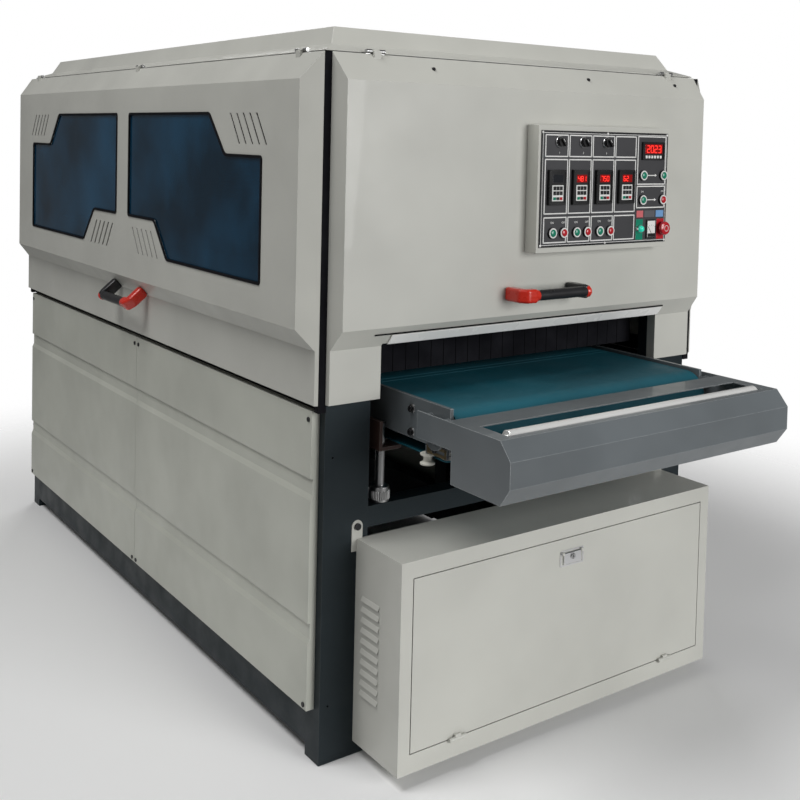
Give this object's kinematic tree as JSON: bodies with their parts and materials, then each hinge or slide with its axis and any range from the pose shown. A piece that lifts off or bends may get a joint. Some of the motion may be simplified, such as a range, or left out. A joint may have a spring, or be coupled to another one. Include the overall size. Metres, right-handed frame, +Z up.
{
  "type": "curved surface sanding machine",
  "caption": "Through-feed brush sanding machine with lift-up windowed doors, height-adjustable belt conveyor, control panel and electrical cabinet.",
  "frame": {"origin": "on the floor, middle of the whole footprint including the infeed guard", "axes": "+Z up; the infeed end with the control panel faces -Y, the workpiece travels along +Y; +X is to the right of a person who stands at the infeed and looks at the machine"},
  "size_m": [1.7578, 3.24, 2.1313],
  "materials": {
    "casing_paint": "satin textured light grey",
    "panel_paint": "satin textured light grey",
    "frame_paint": "dark blue grey satin",
    "guard_paint": "mid grey semi-gloss",
    "head_paint": "dark grey satin",
    "motor_paint": "blue grey enamel",
    "steel": "machined",
    "chrome": "polished",
    "bolt_black": "black oxide",
    "yoke_paint": "dark red brown primer",
    "seal_rubber": "matt black",
    "belt": "teal green, fine weave",
    "window": "blue tinted",
    "handle_black": "fine grain",
    "handle_red": "smooth",
    "face": "matt dark grey",
    "display": "black with bright digits",
    "button_green": "smooth",
    "button_red": "smooth",
    "knob": "black",
    "brush": "abrasive cloth strips",
    "hose": "ribbed dark grey",
    "nylon": "off-white",
    "hood": "galvanised sheet"
  },
  "bodies": {
    "machine": {"base_frame": "frame_paint", "lower_panels": "panel_paint", "dust_spigots": "casing_paint", "panel_screws": "bolt_black", "top_cover": "casing_paint", "corner_seals": "seal_rubber", "rear_cover": "casing_paint", "door_hinges": "steel", "electrical_cabinet": "casing_paint", "switchgear": "steel", "head_frame": "head_paint", "sanding_motors": "motor_paint", "dust_hoods": "hood", "dust_hoses": "hose", "lift_gear": "steel"},
    "front_door": {"front_door": "casing_paint", "front_handle": "handle_black", "front_handle_ends": "handle_red", "control_box": "casing_paint", "control_face": "face", "panel_displays": "display"},
    "left_door": {"left_door": "casing_paint", "left_windows": "window", "left_handle": "handle_black", "left_handle_ends": "handle_red"},
    "right_door": {"right_door": "casing_paint", "right_windows": "window", "right_handle": "handle_black", "right_handle_ends": "handle_red"},
    "cabinet_door": {"cabinet_door": "casing_paint"},
    "cabinet_lock": {"cabinet_lock": "chrome"},
    "conveyor": {"conveyor_frame": "guard_paint", "feed_belt": "belt", "infeed_guard": "guard_paint", "lift_yoke": "yoke_paint", "feed_gearmotor": "motor_paint"},
    "drive_roller": {"drive_roller": "steel"},
    "idler_roller": {"idler_roller": "steel"},
    "infeed_roller": {"infeed_roller": "chrome"},
    "guide_spool": {"guide_spool": "nylon"},
    "start_button_1": {"start_button_1": "button_green"},
    "stop_button_1": {"stop_button_1": "button_red"},
    "start_button_2": {"start_button_2": "button_green"},
    "stop_button_2": {"stop_button_2": "button_red"},
    "start_button_3": {"start_button_3": "button_green"},
    "stop_button_3": {"stop_button_3": "button_red"},
    "raise_button": {"raise_button": "button_green"},
    "lower_button": {"lower_button": "button_green"},
    "feed_start_button": {"feed_start_button": "button_green"},
    "feed_stop_button": {"feed_stop_button": "button_red"},
    "emergency_stop": {"emergency_stop": "button_red"},
    "selector_knob_1": {"selector_knob_1": "knob"},
    "selector_knob_2": {"selector_knob_2": "knob"},
    "selector_knob_3": {"selector_knob_3": "knob"},
    "sanding_roller_1": {"sanding_roller_1": "brush"},
    "sanding_roller_2": {"sanding_roller_2": "brush"},
    "sanding_roller_3": {"sanding_roller_3": "brush"},
    "sanding_roller_4": {"sanding_roller_4": "brush"},
    "sanding_roller_5": {"sanding_roller_5": "brush"},
    "sanding_roller_6": {"sanding_roller_6": "brush"}
  },
  "joints": [
    {"name": "front_door_hinge", "type": "hinge", "parent": "machine", "child": "front_door", "pos_m": [0, -1.056, 2.013], "axis": [-1, 0, 0], "range_deg": [0, 75]},
    {"name": "left_door_hinge", "type": "hinge", "parent": "machine", "child": "left_door", "pos_m": [-0.769, 0.25, 2.013], "axis": [0, 1, 0], "range_deg": [0, 75]},
    {"name": "right_door_hinge", "type": "hinge", "parent": "machine", "child": "right_door", "pos_m": [0.769, 0.25, 2.013], "axis": [0, -1, 0], "range_deg": [0, 75]},
    {"name": "cabinet_door_hinge", "type": "hinge", "parent": "machine", "child": "cabinet_door", "pos_m": [0, -1.2855, 0.095], "axis": [1, 0, 0], "range_deg": [0, 90]},
    {"name": "cabinet_lock_hinge", "type": "hinge", "parent": "cabinet_door", "child": "cabinet_lock", "pos_m": [0, -1.283, 0.536], "axis": [-1, 0, 0], "range_deg": [0, 60]},
    {"name": "start_button_1_press", "type": "slide", "parent": "front_door", "child": "start_button_1", "axis": [0, 1, 0], "range_m": [0, 0.004], "stiffness_N_per_m": 600, "springref_m": -0.004},
    {"name": "stop_button_1_press", "type": "slide", "parent": "front_door", "child": "stop_button_1", "axis": [0, 1, 0], "range_m": [0, 0.004], "stiffness_N_per_m": 600, "springref_m": -0.004},
    {"name": "start_button_2_press", "type": "slide", "parent": "front_door", "child": "start_button_2", "axis": [0, 1, 0], "range_m": [0, 0.004], "stiffness_N_per_m": 600, "springref_m": -0.004},
    {"name": "stop_button_2_press", "type": "slide", "parent": "front_door", "child": "stop_button_2", "axis": [0, 1, 0], "range_m": [0, 0.004], "stiffness_N_per_m": 600, "springref_m": -0.004},
    {"name": "start_button_3_press", "type": "slide", "parent": "front_door", "child": "start_button_3", "axis": [0, 1, 0], "range_m": [0, 0.004], "stiffness_N_per_m": 600, "springref_m": -0.004},
    {"name": "stop_button_3_press", "type": "slide", "parent": "front_door", "child": "stop_button_3", "axis": [0, 1, 0], "range_m": [0, 0.004], "stiffness_N_per_m": 600, "springref_m": -0.004},
    {"name": "raise_button_press", "type": "slide", "parent": "front_door", "child": "raise_button", "axis": [0, 1, 0], "range_m": [0, 0.004], "stiffness_N_per_m": 600, "springref_m": -0.004},
    {"name": "lower_button_press", "type": "slide", "parent": "front_door", "child": "lower_button", "axis": [0, 1, 0], "range_m": [0, 0.004], "stiffness_N_per_m": 600, "springref_m": -0.004},
    {"name": "feed_start_button_press", "type": "slide", "parent": "front_door", "child": "feed_start_button", "axis": [0, 1, 0], "range_m": [0, 0.004], "stiffness_N_per_m": 600, "springref_m": -0.004},
    {"name": "feed_stop_button_press", "type": "slide", "parent": "front_door", "child": "feed_stop_button", "axis": [0, 1, 0], "range_m": [0, 0.004], "stiffness_N_per_m": 600, "springref_m": -0.004},
    {"name": "emergency_stop_press", "type": "slide", "parent": "front_door", "child": "emergency_stop", "axis": [0, 1, 0], "range_m": [0, 0.005], "stiffness_N_per_m": 800, "springref_m": -0.004},
    {"name": "selector_knob_1_turn", "type": "hinge", "parent": "front_door", "child": "selector_knob_1", "pos_m": [0.005, -1.1715, 1.771], "axis": [0, -1, 0], "range_deg": [-45, 45]},
    {"name": "selector_knob_2_turn", "type": "hinge", "parent": "front_door", "child": "selector_knob_2", "pos_m": [0.1065, -1.1715, 1.771], "axis": [0, -1, 0], "range_deg": [-45, 45]},
    {"name": "selector_knob_3_turn", "type": "hinge", "parent": "front_door", "child": "selector_knob_3", "pos_m": [0.208, -1.1715, 1.771], "axis": [0, -1, 0], "range_deg": [-45, 45]},
    {"name": "conveyor_lift", "type": "slide", "parent": "machine", "child": "conveyor", "axis": [0, 0, 1], "range_m": [-0.08, 0.02]},
    {"name": "drive_roller_spin", "type": "hinge", "parent": "conveyor", "child": "drive_roller", "pos_m": [0, 1.48, 0.9617], "axis": [1, 0, 0], "continuous": true},
    {"name": "idler_roller_spin", "type": "hinge", "parent": "conveyor", "child": "idler_roller", "pos_m": [0, -1.278, 0.9617], "axis": [1, 0, 0], "continuous": true},
    {"name": "infeed_roller_spin", "type": "hinge", "parent": "conveyor", "child": "infeed_roller", "pos_m": [0, -1.536, 1.017], "axis": [1, 0, 0], "continuous": true},
    {"name": "guide_spool_spin", "type": "hinge", "parent": "conveyor", "child": "guide_spool", "pos_m": [-0.5213, -1.234, 0.88], "axis": [0, 0, 1], "continuous": true},
    {"name": "sanding_roller_1_spin", "type": "hinge", "parent": "machine", "child": "sanding_roller_1", "pos_m": [0, -0.65, 1.171], "axis": [1, 0, 0], "continuous": true},
    {"name": "sanding_roller_2_spin", "type": "hinge", "parent": "machine", "child": "sanding_roller_2", "pos_m": [0, -0.29, 1.171], "axis": [1, 0, 0], "continuous": true},
    {"name": "sanding_roller_3_spin", "type": "hinge", "parent": "machine", "child": "sanding_roller_3", "pos_m": [0, 0.07, 1.171], "axis": [1, 0, 0], "continuous": true},
    {"name": "sanding_roller_4_spin", "type": "hinge", "parent": "machine", "child": "sanding_roller_4", "pos_m": [0, 0.43, 1.171], "axis": [1, 0, 0], "continuous": true},
    {"name": "sanding_roller_5_spin", "type": "hinge", "parent": "machine", "child": "sanding_roller_5", "pos_m": [0, 0.79, 1.171], "axis": [1, 0, 0], "continuous": true},
    {"name": "sanding_roller_6_spin", "type": "hinge", "parent": "machine", "child": "sanding_roller_6", "pos_m": [0, 1.15, 1.171], "axis": [1, 0, 0], "continuous": true}
  ],
  "couplings": [
    {"joint": "idler_roller_spin", "follows": "drive_roller_spin", "ratio": 1}
  ]
}
